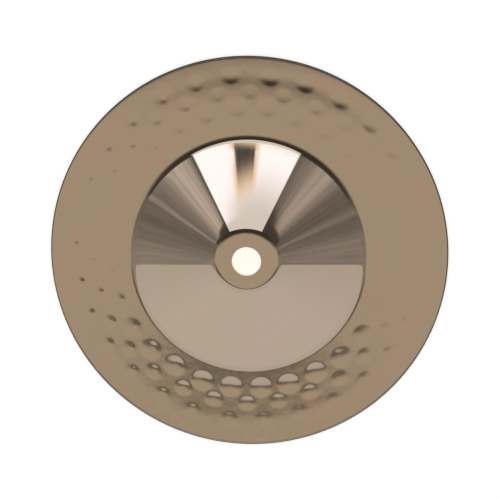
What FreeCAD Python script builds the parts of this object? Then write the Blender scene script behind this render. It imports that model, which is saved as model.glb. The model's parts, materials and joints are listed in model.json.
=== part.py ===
import FreeCAD, Part
import Sketcher
import math
import os

# A small bell cymbal of cast bronze: a wide conical bell with a flat seat round its hole, and a nearly
# flat bow that carries three rings of hammer marks. It is one turned piece without moving parts.
# Own frame: +Z up along the bell's axis. The origin is on that axis, level with the rim's lower edge,
# so the piece stands on its rim. Azimuths are counted from +X towards +Y.

# Driving dimensions in millimetres, with azimuths in degrees and counts as whole numbers
SIZES = (
    ("rim_diameter", 177.8, "across the outer rim"),
    ("hole_diameter", 12.7, "mounting hole"),
    ("seat_diameter", 27.4, "flat felt seat round the hole, to its corner with the cone"),
    ("bell_diameter", 105.0, "cone's foot, at its corner with the bow"),
    ("bell_rise", 14.8, "height of the seat over the cone's foot"),
    ("bow_rise", 1.6, "height of the cone's foot over the rim, on the top face"),
    ("bell_thickness", 2.8, "wall of the seat and the cone"),
    ("bow_thickness", 2.4, "wall of the bow at the cone's foot"),
    ("rim_thickness", 1.8, "wall of the bow at the rim"),
    ("shoulder_round", 12.0, "top radius between the seat and the cone"),
    ("foot_round", 12.0, "top radius between the cone and the bow"),
    ("rim_break", 0.5, "chamfer on both edges of the rim, along each face"),
    ("hole_break", 0.4, "chamfer on both edges of the hole, along each face"),
    ("marks_per_ring", 30, "hammer marks in each ring"),
    ("inner_ring_diameter", 127.6, "ring of marks nearest the bell"),
    ("inner_ring_azimuth", 9.5, "first mark of that ring"),
    ("inner_mark_diameter", 10.6, "each mark of that ring, edge to edge"),
    ("inner_mark_depth", 0.19, "depth at its middle"),
    ("middle_ring_diameter", 142.6, "middle ring of marks"),
    ("middle_ring_azimuth", 4.5, "first mark of that ring"),
    ("middle_mark_diameter", 8.0, "each mark of that ring, edge to edge"),
    ("middle_mark_depth", 0.12, "depth at its middle"),
    ("outer_ring_diameter", 163.2, "ring of marks nearest the rim"),
    ("outer_ring_azimuth", 11.4, "first mark of that ring"),
    ("outer_mark_diameter", 10.0, "each mark of that ring, edge to edge"),
    ("outer_mark_depth", 0.15, "depth at its middle"),
    ("hammer_margin", 1.0, "how far the hammer's face reaches past a mark's edge"),
)
RINGS = ("inner", "middle", "outer")

# Radii and heights of the half section's corners
HOLE_RADIUS = "{hole_diameter} / 2"
SEAT_RADIUS = "{seat_diameter} / 2"
FOOT_RADIUS = "{bell_diameter} / 2"
RIM_RADIUS = "{rim_diameter} / 2"
RIM_TOP = "{rim_thickness}"
FOOT_TOP = "({rim_thickness} + {bow_rise})"
SEAT_TOP = "({rim_thickness} + {bow_rise} + {bell_rise})"
FOOT_UNDER = FOOT_TOP + " - {bow_thickness}"
SEAT_UNDER = SEAT_TOP + " - {bell_thickness}"
CONE_SLOPE = "atan(2 * {bell_rise} / ({bell_diameter} - {seat_diameter}))"
# The cone's inner face runs parallel to its outer face, one bell wall further in
SEAT_UNDER_RADIUS = SEAT_RADIUS + " - {bell_thickness} * tan(" + CONE_SLOPE + " / 2)"
INNER_DROP = "({bell_thickness} - {bow_thickness} * cos(" + CONE_SLOPE + "))"
FOOT_UNDER_RADIUS = FOOT_RADIUS + " - " + INNER_DROP + " / sin(" + CONE_SLOPE + ")"
# The wall keeps its thickness round both bends, so inner and outer roundings share a centre
INSIDE_SHOULDER = "{shoulder_round} - {bell_thickness}"
INSIDE_FOOT = "{foot_round} + {bow_thickness}"
# The bow's top face is part of a very large ball through the foot's corner and the rim's corner
RIM_SQUARES = "((" + RIM_RADIUS + ") ^ 2 + (" + RIM_TOP + ") ^ 2)"
FOOT_SQUARES = "((" + FOOT_RADIUS + ") ^ 2 + " + FOOT_TOP + " ^ 2)"
DOME_CENTRE = "((" + FOOT_SQUARES + " - " + RIM_SQUARES + ") / (2 * {bow_rise}))"
DOME_RADIUS = "sqrt((" + RIM_RADIUS + ") ^ 2 + (" + RIM_TOP + " - " + DOME_CENTRE + ") ^ 2)"

# Half section, clockwise from the top of the hole: each corner's radius, height and how much is taken off
CORNERS = (
    ("hole_top", HOLE_RADIUS, SEAT_TOP, "{hole_break}"),
    ("seat_top", SEAT_RADIUS, SEAT_TOP, "{shoulder_round}"),
    ("foot_top", FOOT_RADIUS, FOOT_TOP, "{foot_round}"),
    ("rim_top", RIM_RADIUS, RIM_TOP, "{rim_break}"),
    ("rim_under", RIM_RADIUS, None, "{rim_break}"),
    ("foot_under", FOOT_UNDER_RADIUS, FOOT_UNDER, INSIDE_FOOT),
    ("seat_under", SEAT_UNDER_RADIUS, SEAT_UNDER, INSIDE_SHOULDER),
    ("hole_under", HOLE_RADIUS, SEAT_UNDER, "{hole_break}"),
)
# These are cut by a chamfer; the other corners get a tangent arc
BREAKS = ("{rim_break}", "{hole_break}")
# The bow's run leaves from this corner
BOW_RUN = [name for name, _, _, _ in CORNERS].index("foot_top")
# How a sketch counts the points of its lines and arcs, and its own origin and upright axis
START, END, CENTRE = range(1, 4)
ORIGIN, UPRIGHT = -1, -2


def make_sheet(doc):
    """The spreadsheet that every sketch and feature takes its sizes from."""
    sheet = doc.addObject("Spreadsheet::Sheet", "sizes")
    for row, (alias, value, note) in enumerate(SIZES, start=1):
        sheet.set("A%d" % row, note)
        sheet.set("B%d" % row, str(value))
        sheet.setAlias("B%d" % row, alias)
    return sheet


def sized(text):
    """Expression text whose size names are read from the sheet."""
    for alias, _, _ in SIZES:
        text = text.replace("{%s}" % alias, "sizes.%s" % alias)
    return text


def evaluate(doc, expression):
    """Value of a sheet expression, as a plain number."""
    value = doc.getObject("sizes").evalExpression(sized(expression).replace("sizes.", ""))
    return float(getattr(value, "Value", value))


def origin_part(body, role):
    """One of the body's own base planes or axes."""
    for feature in body.Origin.OriginFeatures:
        if feature.Role == role:
            return feature
    raise ValueError("no " + role)


def arc_between(centre, radius, first, last):
    """Arc that runs counter-clockwise from the first point to the last."""
    circle = Part.Circle(centre, FreeCAD.Vector(0, 0, 1), radius)
    from_angle = math.atan2(first.y - centre.y, first.x - centre.x)
    to_angle = math.atan2(last.y - centre.y, last.x - centre.x)
    return Part.ArcOfCircle(circle, from_angle, to_angle)


def corner_piece(before, corner, after, size, broken):
    """What takes one corner off: a line or arc, its two ends, and which of them the outline meets first."""
    back = (before - corner).normalize()
    ahead = (after - corner).normalize()
    if broken:
        entry = corner + back * size
        leave = corner + ahead * size
        return Part.LineSegment(entry, leave), entry, leave, START
    half = back.getAngle(ahead) / 2
    entry = corner + back * (size / math.tan(half))
    leave = corner + ahead * (size / math.tan(half))
    centre = corner + (back + ahead).normalize() * (size / math.sin(half))
    if back.cross(ahead).z < 0:
        return arc_between(centre, size, entry, leave), entry, leave, START
    return arc_between(centre, size, leave, entry), entry, leave, END


def bind(sketch, name, expression, constraint):
    """Add one dimension under its own name and tie it to the sheet."""
    number = sketch.addConstraint(constraint)
    sketch.renameConstraint(number, name)
    sketch.setExpression("Constraints." + name, sized(expression))


def draw_outline(doc, sketch):
    """The runs between the corners, then what takes each corner off, then the corners as points."""
    count = len(CORNERS)
    places = []
    for _, radius, height, _ in CORNERS:
        places.append(FreeCAD.Vector(evaluate(doc, radius), evaluate(doc, height) if height else 0, 0))
    pieces = []
    for index, (_, _, _, taken_off) in enumerate(CORNERS):
        before, after = places[index - 1], places[(index + 1) % count]
        size = evaluate(doc, taken_off)
        pieces.append(corner_piece(before, places[index], after, size, taken_off in BREAKS))
    for index in range(count):
        leave = pieces[index][2]
        entry = pieces[(index + 1) % count][1]
        if index == BOW_RUN:
            centre = FreeCAD.Vector(0, evaluate(doc, DOME_CENTRE), 0)
            sketch.addGeometry(arc_between(centre, evaluate(doc, DOME_RADIUS), entry, leave))
        else:
            sketch.addGeometry(Part.LineSegment(leave, entry))
    for shape, _, _, _ in pieces:
        sketch.addGeometry(shape)
    for place in places:
        sketch.addGeometry(Part.Point(place), True)
    return places, [first_end for _, _, _, first_end in pieces]


def half_section(doc, body):
    """Closed half section, with every corner placed by its radius and height."""
    sketch = body.newObject("Sketcher::SketchObject", "half_section")
    sketch.AttachmentSupport = [(origin_part(body, "XZ_Plane"), "")]
    sketch.MapMode = "FlatFace"
    places, first_ends = draw_outline(doc, sketch)
    count = len(CORNERS)
    for index, (name, radius, height, taken_off) in enumerate(CORNERS):
        run_in, run_out, piece, corner = (index - 1) % count, index, count + index, 2 * count + index
        broken = taken_off in BREAKS
        joint = "Coincident" if broken else "Tangent"
        entry_end = first_ends[index]
        leave_end = END if entry_end == START else START
        # The bow's arc runs against the outline, so its two ends change places
        run_in_end = START if run_in == BOW_RUN else END
        run_out_end = END if run_out == BOW_RUN else START
        sketch.addConstraint(Sketcher.Constraint(joint, run_in, run_in_end, piece, entry_end))
        sketch.addConstraint(Sketcher.Constraint(joint, piece, leave_end, run_out, run_out_end))
        sketch.addConstraint(Sketcher.Constraint("PointOnObject", corner, START, run_in))
        sketch.addConstraint(Sketcher.Constraint("PointOnObject", corner, START, run_out))
        size = evaluate(doc, taken_off)
        if broken:
            for side, end in (("_break_in", entry_end), ("_break_out", leave_end)):
                length = Sketcher.Constraint("Distance", corner, START, piece, end, size)
                bind(sketch, name + side, taken_off, length)
        else:
            bind(sketch, name + "_rounding", taken_off, Sketcher.Constraint("Radius", piece, size))
        across = Sketcher.Constraint("DistanceX", ORIGIN, START, corner, START, places[index].x)
        bind(sketch, name + "_radius", radius, across)
        if height:
            up = Sketcher.Constraint("DistanceY", ORIGIN, START, corner, START, places[index].y)
            bind(sketch, name + "_height", height, up)
        else:
            sketch.addConstraint(Sketcher.Constraint("PointOnObject", corner, START, ORIGIN))
    sketch.addConstraint(Sketcher.Constraint("PointOnObject", BOW_RUN, CENTRE, UPRIGHT))
    return sketch


def hammer_mark(doc, body, ring):
    """One shallow round mark, pressed square to the bow's top face.

    The hammer's face is a small window of a large ball. The ball's own axis lies along the ring, so its
    poles and seam stay clear of the mark.
    """
    mark = body.newObject("PartDesign::SubtractiveSphere", ring + "_mark")
    mark.AttachmentSupport = [(origin_part(body, "XY_Plane"), "")]
    mark.MapMode = "FlatFace"
    mark_radius = "{%s_mark_diameter} / 2" % ring
    depth = "{%s_mark_depth}" % ring
    ball = "((" + mark_radius + ") ^ 2 + " + depth + " ^ 2) / (2 * " + depth + ")"
    window = "asin((" + mark_radius + " + {hammer_margin}) / (" + ball + "))"
    mark.setExpression("Radius", sized(ball))
    mark.setExpression("Angle1", sized("-" + window))
    mark.setExpression("Angle2", sized(window))
    mark.setExpression("Angle3", sized("2 * " + window))
    # The ball's centre stands over the mark, on the line from the dome's centre through the mark
    reach = "(" + DOME_RADIUS + " + " + ball + " - " + depth + ")"
    tilt = "asin({%s_ring_diameter} / 2 / %s)" % (ring, DOME_RADIUS)
    azimuth = "{%s_ring_azimuth} * 1 deg" % ring
    across = reach + " * sin(" + tilt + ") * cos(" + azimuth + ")"
    away = reach + " * sin(" + tilt + ") * sin(" + azimuth + ")"
    up = DOME_CENTRE + " + " + reach + " * cos(" + tilt + ")"
    place = "vector(" + across + "; " + away + "; " + up + ")"
    turn = "rotation(" + azimuth + "; 90 deg + " + tilt + " - " + window + "; -90 deg)"
    mark.setExpression("AttachmentOffset", sized("placement(" + place + "; " + turn + ")"))
    doc.recompute()
    return mark


def hammer_rings(doc, body):
    """Each ring's first mark, repeated evenly round the bell's axis."""
    for ring in RINGS:
        mark = hammer_mark(doc, body, ring)
        pattern = body.newObject("PartDesign::PolarPattern", ring + "_ring")
        pattern.Originals = [mark]
        pattern.Axis = (origin_part(body, "Z_Axis"), [""])
        pattern.Angle = 360
        pattern.setExpression("Occurrences", sized("{marks_per_ring}"))
        body.Tip = pattern
        doc.recompute()


def bell_cymbal(doc):
    """The whole cymbal: the turned blank, then the hammered bow."""
    body = doc.addObject("PartDesign::Body", "bell_cymbal")
    body.Label = "bell_cymbal"
    section = half_section(doc, body)
    blank = body.newObject("PartDesign::Revolution", "turned_blank")
    blank.Profile = section
    blank.ReferenceAxis = (section, ["V_Axis"])
    blank.Angle = 360
    doc.recompute()
    smooth_volume = body.Tip.Shape.Volume
    hammer_rings(doc, body)
    taken = smooth_volume - body.Tip.Shape.Volume
    print("the hammer marks take %.1f mm3" % taken)
    if taken <= 0:
        raise ValueError("the hammer marks cut nothing")
    return body


def check_document(doc):
    """Stop before anything is written if any feature failed."""
    for item in doc.Objects:
        if "Invalid" in item.State or "Error" in item.State:
            raise ValueError("failed feature: " + item.Name)


def write_parts(bodies):
    """One STEP file for each separate piece, named after it."""
    os.makedirs("parts", exist_ok=True)
    for body in bodies:
        shape = body.Shape
        if shape.isNull() or not shape.isValid() or len(shape.Solids) != 1:
            raise ValueError("bad solid: " + body.Label)
    for body in bodies:
        body.Shape.exportStep(os.path.join("parts", body.Label + ".step"))
        box = body.Shape.BoundBox
        print(
            "%s: %.3f x %.3f x %.3f mm, lowest %.4f, volume %.1f mm3"
            % (body.Label, box.XLength, box.YLength, box.ZLength, box.ZMin, body.Shape.Volume)
        )


def main():
    doc = FreeCAD.newDocument("cymbal")
    make_sheet(doc)
    doc.recompute()
    pieces = [bell_cymbal(doc)]
    doc.recompute()
    check_document(doc)
    write_parts(pieces)


main()
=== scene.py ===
import math

import bpy
from mathutils import Matrix, Vector
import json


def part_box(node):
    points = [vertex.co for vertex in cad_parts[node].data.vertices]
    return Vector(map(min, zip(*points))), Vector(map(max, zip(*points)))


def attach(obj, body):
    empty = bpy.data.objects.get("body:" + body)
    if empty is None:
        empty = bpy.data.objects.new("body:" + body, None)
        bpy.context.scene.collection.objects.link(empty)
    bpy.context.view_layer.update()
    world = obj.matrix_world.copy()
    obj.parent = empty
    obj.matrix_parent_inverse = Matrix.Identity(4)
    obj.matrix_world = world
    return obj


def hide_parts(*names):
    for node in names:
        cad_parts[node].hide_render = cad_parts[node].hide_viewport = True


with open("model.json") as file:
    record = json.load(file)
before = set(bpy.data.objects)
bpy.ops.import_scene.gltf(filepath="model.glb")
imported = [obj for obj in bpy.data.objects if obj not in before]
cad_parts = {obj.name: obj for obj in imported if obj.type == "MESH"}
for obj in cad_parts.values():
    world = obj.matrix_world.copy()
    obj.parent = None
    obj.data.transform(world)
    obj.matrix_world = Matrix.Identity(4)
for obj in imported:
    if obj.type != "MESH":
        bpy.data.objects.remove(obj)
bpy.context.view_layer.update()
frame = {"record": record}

MM = 0.001

# Sizes of the cymbal that the frame doesn't state, in millimetres, as a turner would draw them
SEAT_CORNER_RADIUS = 13.7
FOOT_CORNER_RADIUS = 52.5
BOW_RISE = 1.6
BOW_WARP = 0.20
BELL_WALL = 2.8
BOW_WALL = 2.4
RIM_WALL = 1.8
SHOULDER_ROUND = 12.0
FOOT_ROUND = 12.0
RIM_ROUND = 0.7
HOLE_BREAK = 0.4

# Hammer marks by ring, in millimetres and degrees. Depths hold on the side that was struck hardest; the
# far side keeps its share of them. Each blow ends in a small pit on the side towards the bell.
MARKS_PER_RING = 30
MARK_RINGS = (
    {
        "Ring number": 1, "Ring radius": 64.0, "Off centre": 2.2, "First azimuth": 10.8,
        "Half length": 5.3, "Half width": 4.6, "Depth": 0.26, "Deepest azimuth": 270.0,
        "Far share": 0.28, "Pit depth": 0.06, "Groove": 0.0,
    },
    {
        "Ring number": 2, "Ring radius": 71.3, "Off centre": 2.1, "First azimuth": 5.2,
        "Half length": 4.4, "Half width": 3.4, "Depth": 0.12, "Deepest azimuth": 262.0,
        "Far share": 0.45, "Pit depth": 0.09, "Groove": 0.0,
    },
    {
        "Ring number": 3, "Ring radius": 78.6, "Off centre": 1.55, "First azimuth": 11.4,
        "Half length": 4.6, "Half width": 3.6, "Depth": 0.15, "Deepest azimuth": 70.0,
        "Far share": 0.26, "Pit depth": 0.12, "Groove": 0.12,
    },
)
LENGTHS = ("Ring radius", "Off centre", "Half length", "Half width", "Depth", "Pit depth", "Groove")
ANGLES = ("First azimuth", "Deepest azimuth")

# How far a blow lands off its place, as a share of the mark's half width, and how unevenly hard the blows are
SLIP_SHARE = 0.16
FORCE_SPREAD = 0.18
SEED_STEP = 7.0

# Form of a mark: steepness of the dish's edge, how fast the struck side fades round the disc, and the pit's
# radius in millimetres, its place as a share of the half width, and its depth on the right side of the disc
DISH_POWER = 1.25
STRUCK_POWER = 4.0
PIT_RADIUS = 0.9
PIT_PLACE_SHARE = 0.45
PIT_LEFT_POWER = 1.2
PIT_RIGHT_SHARE = 0.16
GROOVE_FALL = 0.6

# Where the bow's satin and the rim's satin edge with its painted shade begin and are full, as radii in
# millimetres
SATIN_START = (51.5, 54.5)
SATIN_SHADED_RIM_START = (88.2, 88.5)

# The studio is a picture on a level ceiling. A place on it is its offset to the side and to the back, divided
# by its height. Reach and bearing start from the place that a level face shows to the camera.
LEVEL_SIDE = -0.064
LEVEL_BACK = -0.229
LEAST_RISE = 0.05

# Light of the gathered cloth walls by bearing in degrees, their tint, and their folds
WALL_STOPS = (
    (-150, 0.45), (-102, 0.29), (-96, 0.28), (-86, 0.22), (-75, 0.165), (-67, 0.18), (-65.4, 0.20),
    (-64, 0.42), (-62.8, 0.23), (-59, 0.20), (-53.5, 0.30), (-48, 0.45), (-42.7, 0.56), (-37, 0.52),
    (-34, 0.30), (-32.5, 0.12), (0, 0.12), (27.5, 0.12), (30, 0.20), (36, 0.30), (41, 0.45), (46, 0.42),
    (51.5, 0.28), (57, 0.16), (67, 0.16), (70, 0.27), (71, 0.16), (78, 0.175), (83, 0.24), (99, 0.255),
    (150, 0.45),
)
WALL_TINT = (1.0, 0.965, 1.03)
FOLDS_PER_RADIAN = 22.0
FOLD_DRIFT = 14.0
FOLD_CONTRAST = (0.8, 1.2)

# How the ceiling goes dark on its way back, between the front and the back of the gap round the camera
GAP_STOPS = ((0.19, 0.0), (0.29, 0.13), (0.37, 0.27), (0.53, 0.55), (0.725, 0.88), (0.92, 1.0))
GAP_SPAN = (-0.135, 0.12)

# Zones of the studio: each edge is a smooth step of one measure, from where the zone ends to where it is full
FRAME_ZONE = (
    ("frame edge", 0.8165, 0.8095), ("frame edge", 0.45, 0.55),
    ("bearing", math.radians(-70), math.radians(-60)), ("bearing", math.radians(68), math.radians(58)),
)
CEILING_ZONE = (("reach", 0.56, 0.40),)
ROOM_ZONE = (("reach", 1.15, 1.6),)
GAP_ZONE = (("off middle", 0.50, 0.36), ("reach", 0.70, 0.62))
SOFTBOX_ZONE = (
    ("bearing", math.radians(-31.6), math.radians(-30.8)), ("bearing", math.radians(27.6), math.radians(26.6)),
    ("back", 0.33, 0.36), ("reach", 1.1, 1.0),
)
BRIGHT_END_ZONE = (("reach", 0.797, 0.826),)
FRINGE_ZONE = (
    ("bearing", math.radians(-13), math.radians(-9)), ("bearing", math.radians(7), math.radians(4)),
    ("reach", 0.806, 0.815), ("reach", 0.834, 0.826),
)
STAND_ZONE = (
    ("bearing", math.radians(-9.5), math.radians(-7.5)), ("bearing", math.radians(4.0), math.radians(2.5)),
    ("reach", 0.812, 0.827),
)
MARGIN_ZONE = (("margin", -0.362, -0.435), ("reach", 0.55, 0.42))
CARD_ZONE = (("card edge", -0.452, -0.458),)

# The dark frames hang lower on the left; the pale card's edge turns away on the right, and so does its margin
FRAME_LEAN = 0.0175
CARD_TURN = {"From Min": 0.2, "From Max": 0.7, "To Min": 0.0, "To Max": -0.075}
MARGIN_LEFT = 0.22
MARGIN_RIGHT = -0.18
MARGIN_DARKENING = -0.7
CARD_GLOW = {"From Min": -0.45, "From Max": -1.1, "To Min": 0.51, "To Max": 0.57}
HORIZON_FADE = {"From Min": 0.42, "From Max": 0.25}

# Light of each thing in the studio, linear: above one it is brighter than paper white
FRAME_LIGHT = (0.065, 0.06, 0.06, 1.0)
CEILING_LIGHT = (0.43, 0.397, 0.36, 1.0)
ROOM_LIGHT = (0.62, 0.62, 0.62, 1.0)
GAP_LIGHT = (0.045, 0.04, 0.036, 1.0)
SOFTBOX_LIGHT = (0.80, 0.86, 1.02, 1.0)
BRIGHT_END_LIGHT = (1.30, 1.48, 1.95, 1.0)
FRINGE_LIGHT = (1.05, 0.92, 0.80, 1.0)
STAND_LIGHT = (0.07, 0.075, 0.085, 1.0)
CARD_TINT = (1.0, 0.995, 1.06)
HORIZON_LIGHT = (0.75, 0.75, 0.75, 1.0)
WHITE = (1.0, 1.0, 1.0, 1.0)

# Pale floor: half its side in millimetres, its paint, and the glow that camera and mirror rays see in it
FLOOR_HALF = 6000.0
FLOOR_PAINT = (0.75, 0.75, 0.75, 1.0)
FLOOR_GLOW = 0.70

# Mesh: columns round the axis, few enough for a piece under 200,000 triangles, and the spacing in millimetres
# of the rows along the bow
COLUMNS = 600
BOW_ROW_STEP = 0.62

# The camera was fitted to the rim in the photograph: its distance in millimetres, and its tilt off the axis and
# the heading of that tilt in degrees
CAMERA_DISTANCE = 1200.0
CAMERA_TILT = 13.32
CAMERA_HEADING = 74.3
FOCAL_PIXELS = 2686.9
FRAME_PIXELS = 500
AIM_PIXELS = (-1.09, -2.91)
SENSOR_WIDTH = 36.0


def linear(code):
    """Linear colour from an sRGB hex code."""
    channels = [int(code[i:i + 2], 16) / 255 for i in (1, 3, 5)]
    return tuple(c / 12.92 if c <= 0.04045 else ((c + 0.055) / 1.055) ** 2.4 for c in channels) + (1.0,)


def add(tree, kind, inputs=None, out=0, **settings):
    """Adds one node with its settings, fills or links its inputs and returns one output."""
    node = tree.nodes.new(kind)
    for name, value in settings.items():
        setattr(node, name, value)
    for key, value in (inputs or {}).items():
        socket = node.inputs[key]
        if isinstance(value, bpy.types.NodeSocket):
            tree.links.new(value, socket)
        else:
            socket.default_value = value
    return node.outputs[out] if len(node.outputs) else node


def rounded(corners):
    """Outline through the corners, each turned by an arc of its radius; runs are split at about their step."""
    count = len(corners)
    points = []
    for index, (place, radius, arc_steps, _, side) in enumerate(corners):
        before = Vector(corners[index - 1][0])
        after = Vector(corners[(index + 1) % count][0])
        corner = Vector(place)
        back = (before - corner).normalized()
        ahead = (after - corner).normalized()
        half = back.angle(ahead) / 2
        reach = radius / math.tan(half)
        start = corner + back * reach
        end = corner + ahead * reach
        centre = corner + (back + ahead).normalized() * (radius / math.sin(half))
        sweep = math.pi - 2 * half
        for step in range(arc_steps + 1):
            share = step / arc_steps
            mix = (start - centre) * math.sin((1 - share) * sweep) + (end - centre) * math.sin(share * sweep)
            points.append((centre + mix / math.sin(sweep), side))
    outline = []
    total = len(points)
    ends = {}
    at = 0
    for _, _, arc_steps, step, side in corners:
        at += arc_steps + 1
        ends[at - 1] = (step, side)
    for index, (place, side) in enumerate(points):
        outline.append((place, side))
        if index in ends:
            step, run_side = ends[index]
            after = points[(index + 1) % total][0]
            pieces = max(1, round((after - place).length / step))
            for piece in range(1, pieces):
                outline.append((place.lerp(after, piece / pieces), run_side))
    return outline


def half_section(rim_radius, height, hole_radius):
    """Half section of the turned blank as radius, top-face flag and height, all in millimetres."""
    foot_top = RIM_WALL + BOW_RISE
    slope = math.atan((height - foot_top) / (FOOT_CORNER_RADIUS - SEAT_CORNER_RADIUS))
    seat_under = height - BELL_WALL
    seat_under_radius = SEAT_CORNER_RADIUS - BELL_WALL * math.tan(slope / 2)
    foot_under_radius = FOOT_CORNER_RADIUS - (BELL_WALL - BOW_WALL * math.cos(slope)) / math.sin(slope)
    corners = (
        ((hole_radius, height), HOLE_BREAK, 5, 1.0, 1),
        ((SEAT_CORNER_RADIUS, height), SHOULDER_ROUND, 12, 4.0, 1),
        ((FOOT_CORNER_RADIUS, foot_top), FOOT_ROUND, 12, BOW_ROW_STEP, 1),
        ((rim_radius, RIM_WALL), RIM_ROUND, 6, 0.4, 0),
        ((rim_radius, 0.0), RIM_ROUND, 6, 3.0, 0),
        ((foot_under_radius, foot_top - BOW_WALL), FOOT_ROUND + BOW_WALL, 10, 6.0, 0),
        ((seat_under_radius, seat_under), SHOULDER_ROUND - BELL_WALL, 10, 2.0, 0),
        ((hole_radius, seat_under), HOLE_BREAK, 5, 1.0, 0),
    )
    return [(place.x, side, place.y) for place, side in rounded(corners)]


def ring_group():
    """Node group: how deep one ring of hammer marks lies at a point of the bow."""
    tree = bpy.data.node_groups.new("Ring of hammer marks", "GeometryNodeTree")
    for name in list(MARK_RINGS[0]) + ["Count"]:
        tree.interface.new_socket(name, in_out="INPUT", socket_type="NodeSocketFloat")
    tree.interface.new_socket("Depth here", in_out="OUTPUT", socket_type="NodeSocketFloat")
    given = tree.nodes.new("NodeGroupInput").outputs
    position = add(tree, "GeometryNodeInputPosition")
    split = add(tree, "ShaderNodeSeparateXYZ", {0: position}).node.outputs
    east = split[0]
    north = add(tree, "ShaderNodeMath", {0: split[1], 1: given["Off centre"]}, operation="SUBTRACT")
    azimuth = add(tree, "ShaderNodeMath", {0: north, 1: east}, operation="ARCTAN2")
    flat = add(tree, "ShaderNodeCombineXYZ", {0: east, 1: north})
    radius = add(tree, "ShaderNodeVectorMath", {0: flat}, out=1, operation="LENGTH")
    # The nearest blow, and how far along and across the ring the point lies from it
    pitch = add(tree, "ShaderNodeMath", {0: math.tau, 1: given["Count"]}, operation="DIVIDE")
    turns = add(tree, "ShaderNodeMath", {0: azimuth, 1: given["First azimuth"]}, operation="SUBTRACT")
    turns = add(tree, "ShaderNodeMath", {0: turns, 1: pitch}, operation="DIVIDE")
    nearest = add(tree, "ShaderNodeMath", {0: turns}, operation="ROUND")
    number = add(tree, "ShaderNodeMath", {0: nearest, 1: given["Count"]}, operation="FLOORED_MODULO")
    along = add(tree, "ShaderNodeMath", {0: turns, 1: nearest}, operation="SUBTRACT")
    along = add(tree, "ShaderNodeMath", {0: along, 1: pitch}, operation="MULTIPLY")
    along = add(tree, "ShaderNodeMath", {0: along, 1: radius}, operation="MULTIPLY")
    across = add(tree, "ShaderNodeMath", {0: radius, 1: given["Ring radius"]}, operation="SUBTRACT")
    # Each blow lands a little off its place and is a little harder or softer than the next
    seed = add(tree, "ShaderNodeMath", {0: given["Ring number"], 1: SEED_STEP}, operation="MULTIPLY")
    jog = add(
        tree, "FunctionNodeRandomValue",
        {"Min": (-1.0, -1.0, -1.0), "Max": (1.0, 1.0, 1.0), "ID": number, "Seed": seed},
        data_type="FLOAT_VECTOR",
    )
    jogs = add(tree, "ShaderNodeSeparateXYZ", {0: jog}).node.outputs
    slip = add(tree, "ShaderNodeMath", {0: given["Half width"], 1: SLIP_SHARE}, operation="MULTIPLY")
    along = add(tree, "ShaderNodeMath", {0: jogs[0], 1: slip, 2: along}, operation="MULTIPLY_ADD")
    across = add(tree, "ShaderNodeMath", {0: jogs[1], 1: slip, 2: across}, operation="MULTIPLY_ADD")
    force = add(tree, "ShaderNodeMath", {0: jogs[2], 1: FORCE_SPREAD, 2: 1.0}, operation="MULTIPLY_ADD")
    # Shallow oval dish
    squares = []
    for offset, half in ((along, "Half length"), (across, "Half width")):
        share = add(tree, "ShaderNodeMath", {0: offset, 1: given[half]}, operation="DIVIDE")
        share = add(tree, "ShaderNodeMath", {0: share}, operation="ABSOLUTE")
        squares.append(add(tree, "ShaderNodeMath", {0: share, 1: 2.0}, operation="POWER"))
    dish = add(tree, "ShaderNodeMath", {0: squares[0], 1: squares[1]}, operation="ADD")
    dish = add(tree, "ShaderNodeMath", {0: 1.0, 1: dish}, operation="SUBTRACT")
    dish = add(tree, "ShaderNodeMath", {0: dish, 1: 0.0}, operation="MAXIMUM")
    dish = add(tree, "ShaderNodeMath", {0: dish, 1: DISH_POWER}, operation="POWER")
    # The disc was struck harder on one side
    lean = add(tree, "ShaderNodeMath", {0: azimuth, 1: given["Deepest azimuth"]}, operation="SUBTRACT")
    lean = add(tree, "ShaderNodeMath", {0: lean}, operation="COSINE")
    lean = add(tree, "ShaderNodeMath", {0: lean, 1: 0.0}, operation="MAXIMUM")
    lean = add(tree, "ShaderNodeMath", {0: lean, 1: STRUCK_POWER}, operation="POWER")
    near = add(tree, "ShaderNodeMath", {0: 1.0, 1: given["Far share"]}, operation="SUBTRACT")
    lean = add(tree, "ShaderNodeMath", {0: lean, 1: near, 2: given["Far share"]}, operation="MULTIPLY_ADD")
    dish = add(tree, "ShaderNodeMath", {0: dish, 1: lean}, operation="MULTIPLY")
    dish = add(tree, "ShaderNodeMath", {0: dish, 1: given["Depth"]}, operation="MULTIPLY")
    # Small pit where the edge of the hammer's face bit
    pit_row = {0: given["Half width"], 1: PIT_PLACE_SHARE, 2: across}
    pit_across = add(tree, "ShaderNodeMath", pit_row, operation="MULTIPLY_ADD")
    place = add(tree, "ShaderNodeCombineXYZ", {0: along, 1: pit_across})
    pit = add(tree, "ShaderNodeVectorMath", {0: place}, out=1, operation="LENGTH")
    pit = add(tree, "ShaderNodeMath", {0: pit, 1: PIT_RADIUS * MM}, operation="DIVIDE")
    pit = add(tree, "ShaderNodeMath", {0: pit, 1: 2.0}, operation="POWER")
    pit = add(tree, "ShaderNodeMath", {0: pit, 1: -0.5}, operation="MULTIPLY")
    pit = add(tree, "ShaderNodeMath", {0: pit}, operation="EXPONENT")
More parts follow.
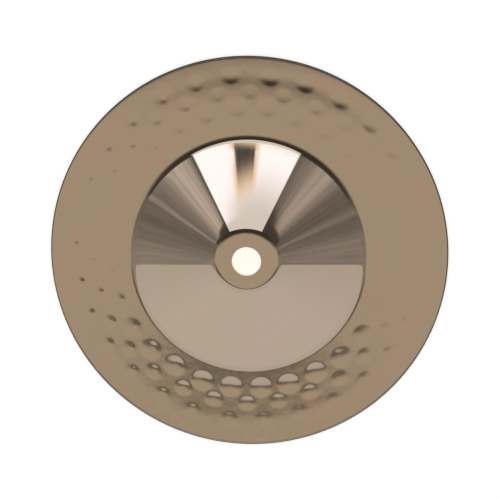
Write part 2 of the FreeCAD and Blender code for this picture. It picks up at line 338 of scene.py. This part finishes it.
    # The pits are deepest on the left side of the disc
    left = add(tree, "ShaderNodeMath", {0: east, 1: -1.0}, operation="MULTIPLY")
    left = add(tree, "ShaderNodeMath", {0: left, 1: radius}, operation="DIVIDE")
    left = add(tree, "ShaderNodeMath", {0: left, 1: 0.0}, operation="MAXIMUM")
    left = add(tree, "ShaderNodeMath", {0: left, 1: PIT_LEFT_POWER}, operation="POWER")
    left_row = {0: left, 1: 1.0 - PIT_RIGHT_SHARE, 2: PIT_RIGHT_SHARE}
    left = add(tree, "ShaderNodeMath", left_row, operation="MULTIPLY_ADD")
    pit = add(tree, "ShaderNodeMath", {0: pit, 1: left}, operation="MULTIPLY")
    pit = add(tree, "ShaderNodeMath", {0: pit, 1: given["Pit depth"]}, operation="MULTIPLY")
    blow = add(tree, "ShaderNodeMath", {0: pit, 1: dish}, operation="ADD")
    blow = add(tree, "ShaderNodeMath", {0: blow, 1: force}, operation="MULTIPLY")
    # Blow after blow has also pressed a shallow groove along the ring
    groove = add(tree, "ShaderNodeMath", {0: across, 1: given["Half width"]}, operation="DIVIDE")
    groove = add(tree, "ShaderNodeMath", {0: groove, 1: 2.0}, operation="POWER")
    groove = add(tree, "ShaderNodeMath", {0: groove, 1: -GROOVE_FALL}, operation="MULTIPLY")
    groove = add(tree, "ShaderNodeMath", {0: groove}, operation="EXPONENT")
    groove = add(tree, "ShaderNodeMath", {0: groove, 1: lean}, operation="MULTIPLY")
    depth = add(tree, "ShaderNodeMath", {0: groove, 1: given["Groove"], 2: blow}, operation="MULTIPLY_ADD")
    result = tree.nodes.new("NodeGroupOutput")
    tree.links.new(depth, result.inputs[0])
    return tree


def cymbal_tree(rows, rim_radius, material):
    """Node tree: spins the half section round the axis and presses the hammer marks into its top face."""
    tree = bpy.data.node_groups.new("Hammered cymbal", "GeometryNodeTree")
    tree.interface.new_socket("Half section", in_out="INPUT", socket_type="NodeSocketGeometry")
    tree.interface.new_socket("Columns", in_out="INPUT", socket_type="NodeSocketInt")
    tree.interface.new_socket("Marks per ring", in_out="INPUT", socket_type="NodeSocketFloat")
    tree.interface.new_socket("Warp", in_out="INPUT", socket_type="NodeSocketFloat")
    tree.interface.new_socket("Cymbal", in_out="OUTPUT", socket_type="NodeSocketGeometry")
    given = tree.nodes.new("NodeGroupInput").outputs
    columns = add(tree, "ShaderNodeMath", {0: given["Columns"], 1: 1.0}, operation="ADD")
    grid = add(tree, "GeometryNodeMeshGrid", {"Vertices X": columns, "Vertices Y": rows + 1})
    index = add(tree, "GeometryNodeInputIndex")
    row = add(tree, "ShaderNodeMath", {0: index, 1: rows + 1.0}, operation="FLOORED_MODULO")
    row = add(tree, "ShaderNodeMath", {0: row, 1: float(rows)}, operation="FLOORED_MODULO")
    column = add(tree, "ShaderNodeMath", {0: index, 1: rows + 1.0}, operation="DIVIDE")
    column = add(tree, "ShaderNodeMath", {0: column}, operation="FLOOR")
    turn = add(tree, "ShaderNodeMath", {0: column, 1: given["Columns"]}, operation="DIVIDE")
    turn = add(tree, "ShaderNodeMath", {0: turn, 1: math.tau}, operation="MULTIPLY")
    place = add(tree, "GeometryNodeInputPosition")
    section = add(
        tree, "GeometryNodeSampleIndex", {"Geometry": given["Half section"], "Value": place, "Index": row},
        data_type="FLOAT_VECTOR",
    )
    parts = tree.nodes.new("ShaderNodeSeparateXYZ")
    tree.links.new(section, parts.inputs[0])
    radius, top_flag, height = parts.outputs
    across = add(tree, "ShaderNodeMath", {0: turn}, operation="COSINE")
    across = add(tree, "ShaderNodeMath", {0: across, 1: radius}, operation="MULTIPLY")
    away = add(tree, "ShaderNodeMath", {0: turn}, operation="SINE")
    away = add(tree, "ShaderNodeMath", {0: away, 1: radius}, operation="MULTIPLY")
    # The bow sags a little on one side of the disc and bulges as much on the other
    share = add(
        tree, "ShaderNodeMapRange",
        {"Value": radius, "From Min": FOOT_CORNER_RADIUS * MM, "From Max": rim_radius * MM},
    )
    rest = add(tree, "ShaderNodeMath", {0: 1.0, 1: share}, operation="SUBTRACT")
    bulge = add(tree, "ShaderNodeMath", {0: share, 1: rest}, operation="MULTIPLY")
    bulge = add(tree, "ShaderNodeMath", {0: bulge, 1: given["Warp"]}, operation="MULTIPLY")
    side = add(tree, "ShaderNodeMath", {0: turn}, operation="SINE")
    bulge = add(tree, "ShaderNodeMath", {0: bulge, 1: side}, operation="MULTIPLY")
    bulge = add(tree, "ShaderNodeMath", {0: bulge, 1: top_flag}, operation="MULTIPLY")
    height = add(tree, "ShaderNodeMath", {0: height, 1: bulge}, operation="ADD")
    spun = add(tree, "ShaderNodeCombineXYZ", {0: across, 1: away, 2: height})
    shape = add(tree, "GeometryNodeSetPosition", {"Geometry": grid, "Position": spun})
    # The top-face flag is carried to the spun points, so that the underside stays smooth
    shape = add(
        tree, "GeometryNodeStoreNamedAttribute", {"Geometry": shape, "Name": "top_face", "Value": top_flag},
        data_type="FLOAT", domain="POINT",
    )
    shape = add(tree, "GeometryNodeMergeByDistance", {"Geometry": shape, "Distance": 1e-6})
    group = ring_group()
    pressed = 0.0
    for ring in MARK_RINGS:
        here = add(tree, "GeometryNodeGroup", {}, node_tree=group)
        sockets = here.node.inputs
        for key, value in ring.items():
            unit = MM if key in LENGTHS else math.radians(1) if key in ANGLES else 1
            sockets[key].default_value = value * unit
        tree.links.new(given["Marks per ring"], sockets["Count"])
        pressed = add(tree, "ShaderNodeMath", {0: here, 1: pressed}, operation="ADD")
    flag = add(tree, "GeometryNodeInputNamedAttribute", {"Name": "top_face"}, data_type="FLOAT")
    pressed = add(tree, "ShaderNodeMath", {0: pressed, 1: flag}, operation="MULTIPLY")
    down = add(tree, "ShaderNodeMath", {0: pressed, 1: -1.0}, operation="MULTIPLY")
    offset = add(tree, "ShaderNodeCombineXYZ", {2: down})
    shape = add(tree, "GeometryNodeSetPosition", {"Geometry": shape, "Offset": offset})
    shape = add(tree, "GeometryNodeSetShadeSmooth", {0: shape})
    shape = add(tree, "GeometryNodeRealizeInstances", {"Geometry": shape})
    shape = add(tree, "GeometryNodeSetMaterial", {"Geometry": shape, "Material": material})
    result = tree.nodes.new("NodeGroupOutput")
    tree.links.new(shape, result.inputs[0])
    return tree


def bell_bronze():
    """Cast bell bronze, polished: a warm, slightly pink-gold mirror with a breath of buffing haze."""
    material = bpy.data.materials.new("polished_bell_bronze")
    material.use_nodes = True
    tree = material.node_tree
    tree.nodes.clear()
    coordinates = add(tree, "ShaderNodeTexCoord", out="Object")
    split = tree.nodes.new("ShaderNodeSeparateXYZ")
    tree.links.new(coordinates, split.inputs[0])
    azimuth = add(tree, "ShaderNodeMath", {0: split.outputs[1], 1: split.outputs[0]}, operation="ARCTAN2")
    flat = add(tree, "ShaderNodeVectorMath", {0: coordinates, 1: (1.0, 1.0, 0.0)}, operation="MULTIPLY")
    radius = add(tree, "ShaderNodeVectorMath", {0: flat}, out=1, operation="LENGTH")
    on_bow = add(
        tree, "ShaderNodeMapRange",
        {"Value": radius, "From Min": SATIN_START[0] * MM, "From Max": SATIN_START[1] * MM},
    )
    # Tone drifts over a few centimetres, where the clear lacquer is thicker or thinner
    tone = add(
        tree, "ShaderNodeTexNoise",
        {"Vector": coordinates, "Scale": 38.0, "Detail": 2.0, "Roughness": 0.5},
    )
    tone = add(tree, "ShaderNodeMapRange", {"Value": tone, "From Min": 0.3, "From Max": 0.7})
    colour = add(
        tree, "ShaderNodeMix", {"Factor": tone, "A": linear("#E6D3B4"), "B": linear("#EAD1B6")},
        out=2, data_type="RGBA",
    )
    # The turned edge of the rim is satin, and painted shade darkens its colour into a dark line round the rim
    on_shaded_rim = add(
        tree, "ShaderNodeMapRange",
        {"Value": radius, "From Min": SATIN_SHADED_RIM_START[0] * MM, "From Max": SATIN_SHADED_RIM_START[1] * MM},
    )
    colour = add(
        tree, "ShaderNodeMix", {"Factor": on_shaded_rim, "A": colour, "B": linear("#5E5142")}, out=2, data_type="RGBA"
    )
    # Buffing haze: fine streaks that run down the bell
    wrapped = add(tree, "ShaderNodeMath", {0: azimuth, 1: 60.0}, operation="MULTIPLY")
    streak_place = add(tree, "ShaderNodeCombineXYZ", {0: wrapped, 1: radius})
    streaks = add(tree, "ShaderNodeTexNoise", {"Vector": streak_place, "Scale": 1.0, "Detail": 3.0})
    haze = add(
        tree, "ShaderNodeMapRange",
        {"Value": streaks, "From Min": 0.35, "From Max": 0.75, "To Min": 0.025, "To Max": 0.05},
    )
    satin = add(tree, "ShaderNodeTexNoise", {"Vector": coordinates, "Scale": 420.0, "Detail": 2.0})
    satin = add(
        tree, "ShaderNodeMapRange",
        {"Value": satin, "From Min": 0.3, "From Max": 0.7, "To Min": 0.07, "To Max": 0.11},
    )
    roughness = add(tree, "ShaderNodeMix", {"Factor": on_bow, "A": haze, "B": satin}, data_type="FLOAT")
    roughness = add(tree, "ShaderNodeMix", {"Factor": on_shaded_rim, "A": roughness, "B": 0.45}, data_type="FLOAT")
    # Orange peel of the polished bow, about 4 mm across and a few microns high
    peel = add(tree, "ShaderNodeTexNoise", {"Vector": coordinates, "Scale": 250.0, "Detail": 1.0})
    peel = add(tree, "ShaderNodeMath", {0: peel, 1: on_bow}, operation="MULTIPLY")
    normal = add(tree, "ShaderNodeBump", {"Height": peel, "Distance": 0.00002, "Strength": 1.0})
    shader = add(
        tree, "ShaderNodeBsdfPrincipled",
        {"Base Color": colour, "Metallic": 1.0, "Roughness": roughness, "Normal": normal},
    )
    result = tree.nodes.new("ShaderNodeOutputMaterial")
    tree.links.new(shader, result.inputs[0])
    return material


def bell_cymbal():
    """The cymbal itself, spun and hammered by its node tree, then kept as a plain mesh."""
    low, high = (Vector(corner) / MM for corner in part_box("bell_cymbal"))
    mounts = {mount["name"]: mount for mount in frame["record"]["mounts"]}
    hole_radius = mounts["mounting_hole"]["dims"]["r_mm"]
    section = half_section(high.x, high.z, hole_radius)
    outline = bpy.data.meshes.new("half_section")
    outline.from_pydata([(r * MM, side, z * MM) for r, side, z in section], [], [])
    work = bpy.data.objects.new("half_section", outline)
    bpy.context.scene.collection.objects.link(work)
    tree = cymbal_tree(len(section), high.x, bell_bronze())
    spin = work.modifiers.new("spin", "NODES")
    spin.node_group = tree
    sockets = {item.name: item.identifier for item in tree.interface.items_tree if item.in_out == "INPUT"}
    spin[sockets["Columns"]] = COLUMNS
    spin[sockets["Marks per ring"]] = float(MARKS_PER_RING)
    spin[sockets["Warp"]] = 4 * BOW_WARP * MM
    bpy.context.view_layer.update()
    depsgraph = bpy.context.evaluated_depsgraph_get()
    mesh = bpy.data.meshes.new_from_object(work.evaluated_get(depsgraph))
    bpy.data.objects.remove(work)
    piece = bpy.data.objects.new("hammered_bell_cymbal", mesh)
    bpy.context.scene.collection.objects.link(piece)
    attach(piece, "root")
    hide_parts("bell_cymbal")
    return piece


def zone(tree, measures, edges):
    """Mask of one zone of the studio: the smooth steps at its edges, multiplied."""
    mask = 1.0
    for name, outside, inside in edges:
        span = {"Value": measures[name], "From Min": outside, "From Max": inside}
        step = add(tree, "ShaderNodeMapRange", span, interpolation_type="SMOOTHSTEP")
        mask = add(tree, "ShaderNodeMath", {0: mask, 1: step}, operation="MULTIPLY")
    return mask


def lay_over(tree, light, measures, patches):
    """Lays patches over the light one after another, each a colour in its own zone."""
    for edges, colour in patches:
        mask = zone(tree, measures, edges)
        light = add(tree, "ShaderNodeMix", {"Factor": mask, "A": light, "B": colour}, out=2, data_type="RGBA")
    return light


def cloth_walls(tree, bearing, reach):
    """Gathered cloth walls: darker and lighter by bearing, with fine folds."""
    walls = tree.nodes.new("ShaderNodeValToRGB")
    ramp = walls.color_ramp
    turn = add(tree, "ShaderNodeMapRange", {"Value": bearing, "From Min": -math.pi, "From Max": math.pi})
    tree.links.new(turn, walls.inputs[0])
    while len(ramp.elements) < len(WALL_STOPS):
        ramp.elements.new(0.5)
    for element, (degrees, value) in zip(ramp.elements, WALL_STOPS):
        element.position = 0.5 + degrees / 360
        element.color = [value * share for share in WALL_TINT] + [1.0]
    fold_turn = add(tree, "ShaderNodeMath", {0: bearing, 1: FOLDS_PER_RADIAN}, operation="MULTIPLY")
    fold_drift = add(tree, "ShaderNodeMath", {0: reach, 1: FOLD_DRIFT}, operation="MULTIPLY")
    fold_place = add(tree, "ShaderNodeCombineXYZ", {0: fold_turn, 1: fold_drift})
    folds = add(
        tree, "ShaderNodeTexNoise",
        {"Vector": fold_place, "Scale": 1.0, "Detail": 4.0, "Roughness": 0.6},
    )
    low, high = FOLD_CONTRAST
    folds = add(
        tree, "ShaderNodeMapRange",
        {"Value": folds, "From Min": 0.3, "From Max": 0.7, "To Min": low, "To Max": high},
    )
    return add(tree, "ShaderNodeVectorMath", {0: walls.outputs[0], "Scale": folds}, operation="SCALE")


def camera_gap(tree, measures):
    """Mask of the black gap round the camera, which the ceiling darkens towards."""
    gap_curve = tree.nodes.new("ShaderNodeValToRGB")
    ramp = gap_curve.color_ramp
    front, end = GAP_SPAN
    gap_place = add(tree, "ShaderNodeMapRange", {"Value": measures["back"], "From Min": front, "From Max": end})
    tree.links.new(gap_place, gap_curve.inputs[0])
    while len(ramp.elements) < len(GAP_STOPS):
        ramp.elements.new(0.5)
    for element, (place, value) in zip(ramp.elements, GAP_STOPS):
        element.position = place
        element.color = (value, value, value, 1.0)
    sides = zone(tree, measures, GAP_ZONE)
    return add(tree, "ShaderNodeMath", {0: gap_curve.outputs[0], 1: sides}, operation="MULTIPLY")


def studio_world():
    """Soft studio seen in the metal: warm ceiling, pale card, softbox, and darker gaps between them."""
    world = bpy.data.worlds.new("studio")
    bpy.context.scene.world = world
    world.use_nodes = True
    tree = world.node_tree
    tree.nodes.clear()
    direction = add(tree, "ShaderNodeTexCoord", out="Generated")
    east, north, up = add(tree, "ShaderNodeSeparateXYZ", {0: direction}).node.outputs
    rise = add(tree, "ShaderNodeMath", {0: up, 1: LEAST_RISE}, operation="MAXIMUM")
    side = add(tree, "ShaderNodeMath", {0: east, 1: rise}, operation="DIVIDE")
    back = add(tree, "ShaderNodeMath", {0: north, 1: rise}, operation="DIVIDE")
    mirror_side = add(tree, "ShaderNodeMath", {0: side, 1: LEVEL_SIDE}, operation="SUBTRACT")
    mirror_back = add(tree, "ShaderNodeMath", {0: back, 1: LEVEL_BACK}, operation="SUBTRACT")
    offset = add(tree, "ShaderNodeCombineXYZ", {0: mirror_side, 1: mirror_back})
    reach = add(tree, "ShaderNodeVectorMath", {0: offset}, out=1, operation="LENGTH")
    bearing = add(tree, "ShaderNodeMath", {0: mirror_side, 1: mirror_back}, operation="ARCTAN2")
    # Edges that don't run along one measure
    lean = add(tree, "ShaderNodeMath", {0: bearing}, operation="SINE")
    frame_edge = add(tree, "ShaderNodeMath", {0: lean, 1: FRAME_LEAN, 2: reach}, operation="MULTIPLY_ADD")
    off_middle = add(tree, "ShaderNodeMath", {0: mirror_side}, operation="ABSOLUTE")
    askew = add(tree, "ShaderNodeMapRange", {"Value": side, **CARD_TURN})
    card_edge = add(tree, "ShaderNodeMath", {0: back, 1: askew}, operation="ADD")
    left = add(tree, "ShaderNodeMath", {0: mirror_side, 1: 0.0}, operation="MINIMUM")
    right = add(tree, "ShaderNodeMath", {0: mirror_side, 1: 0.0}, operation="MAXIMUM")
    margin = add(tree, "ShaderNodeMath", {0: left, 1: MARGIN_LEFT, 2: back}, operation="MULTIPLY_ADD")
    margin = add(tree, "ShaderNodeMath", {0: right, 1: MARGIN_RIGHT, 2: margin}, operation="MULTIPLY_ADD")
    measures = {
        "bearing": bearing, "reach": reach, "back": back, "frame edge": frame_edge, "off middle": off_middle,
        "card edge": card_edge, "margin": margin,
    }
    # Cloth walls with dark frames at their foot, the warm ceiling overhead, and the pale room far out
    light = cloth_walls(tree, bearing, reach)
    surroundings = ((FRAME_ZONE, FRAME_LIGHT), (CEILING_ZONE, CEILING_LIGHT), (ROOM_ZONE, ROOM_LIGHT))
    light = lay_over(tree, light, measures, surroundings)
    gap = camera_gap(tree, measures)
    light = add(tree, "ShaderNodeMix", {"Factor": gap, "A": light, "B": GAP_LIGHT}, out=2, data_type="RGBA")
    # Softbox behind the camera: brightest at its far edge, with its stand as a grey strip
    on_softbox = ((BRIGHT_END_ZONE, BRIGHT_END_LIGHT), (FRINGE_ZONE, FRINGE_LIGHT), (STAND_ZONE, STAND_LIGHT))
    softbox = lay_over(tree, SOFTBOX_LIGHT, measures, on_softbox)
    light = lay_over(tree, light, measures, ((SOFTBOX_ZONE, softbox),))
    # Pale card in front, with a dim margin before its edge
    dimmed = zone(tree, measures, MARGIN_ZONE)
    dimmed = add(tree, "ShaderNodeMath", {0: dimmed, 1: MARGIN_DARKENING, 2: 1.0}, operation="MULTIPLY_ADD")
    light = add(tree, "ShaderNodeVectorMath", {0: light, "Scale": dimmed}, operation="SCALE")
    glow = add(tree, "ShaderNodeMapRange", {"Value": back, **CARD_GLOW})
    card = add(tree, "ShaderNodeVectorMath", {0: CARD_TINT, "Scale": glow}, operation="SCALE")
    light = lay_over(tree, light, measures, ((CARD_ZONE, card),))
    # Light from near and below the horizon is even, and the camera itself sees white
    low = add(tree, "ShaderNodeMapRange", {"Value": up, **HORIZON_FADE})
    seen = add(tree, "ShaderNodeLightPath", out="Is Camera Ray")
    for mask, colour in ((low, HORIZON_LIGHT), (seen, WHITE)):
        light = add(tree, "ShaderNodeMix", {"Factor": mask, "A": light, "B": colour}, out=2, data_type="RGBA")
    shader = add(tree, "ShaderNodeBackground", {"Color": light, "Strength": 1.0})
    result = tree.nodes.new("ShaderNodeOutputWorld")
    tree.links.new(shader, result.inputs[0])


def floor():
    """Plain pale floor that keeps the cymbal's shadow."""
    half = FLOOR_HALF * MM
    mesh = bpy.data.meshes.new("floor")
    corners = [(-half, -half, 0), (half, -half, 0), (half, half, 0), (-half, half, 0)]
    mesh.from_pydata(corners, [], [(0, 1, 2, 3)])
    material = bpy.data.materials.new("pale_floor_paint")
    material.use_nodes = True
    tree = material.node_tree
    tree.nodes.clear()
    paint = add(tree, "ShaderNodeBsdfDiffuse", {"Color": FLOOR_PAINT})
    rays = tree.nodes.new("ShaderNodeLightPath").outputs
    seen = rays["Is Camera Ray"]
    for kind in ("Is Glossy Ray", "Is Transmission Ray"):
        seen = add(tree, "ShaderNodeMath", {0: seen, 1: rays[kind]}, operation="MAXIMUM")
    glow = add(tree, "ShaderNodeMath", {0: seen, 1: FLOOR_GLOW}, operation="MULTIPLY")
    lift = add(tree, "ShaderNodeEmission", {"Color": WHITE, "Strength": glow})
    both = add(tree, "ShaderNodeAddShader", {0: paint, 1: lift})
    result = tree.nodes.new("ShaderNodeOutputMaterial")
    tree.links.new(both, result.inputs[0])
    mesh.materials.append(material)
    plane = bpy.data.objects.new("floor", mesh)
    bpy.context.scene.collection.objects.link(plane)


def camera():
    """Camera at the photograph's place, fitted to the rim."""
    tilt, heading = math.radians(CAMERA_TILT), math.radians(CAMERA_HEADING)
    toward = Vector((math.sin(tilt) * math.cos(heading), math.sin(tilt) * math.sin(heading), math.cos(tilt)))
    right = Vector((0.0, 1.0, 0.0)).cross(toward).normalized()
    up = toward.cross(right)
    aim = [pixels * CAMERA_DISTANCE / FOCAL_PIXELS for pixels in AIM_PIXELS]
    rim_middle = Vector((0.0, 0.0, RIM_WALL / 2))
    place = rim_middle + toward * CAMERA_DISTANCE - right * aim[0] - up * aim[1]
    data = bpy.data.cameras.new("camera")
    data.sensor_width = SENSOR_WIDTH
    data.lens = SENSOR_WIDTH * FOCAL_PIXELS / FRAME_PIXELS
    eye = bpy.data.objects.new("camera", data)
    bpy.context.scene.collection.objects.link(eye)
    turn = Matrix((right, up, toward)).transposed().to_4x4()
    eye.matrix_world = Matrix.Translation(place * MM) @ turn
    bpy.context.scene.camera = eye


bell_cymbal()
studio_world()
floor()
camera()

view = bpy.context.scene.view_settings
view.view_transform = "Standard"
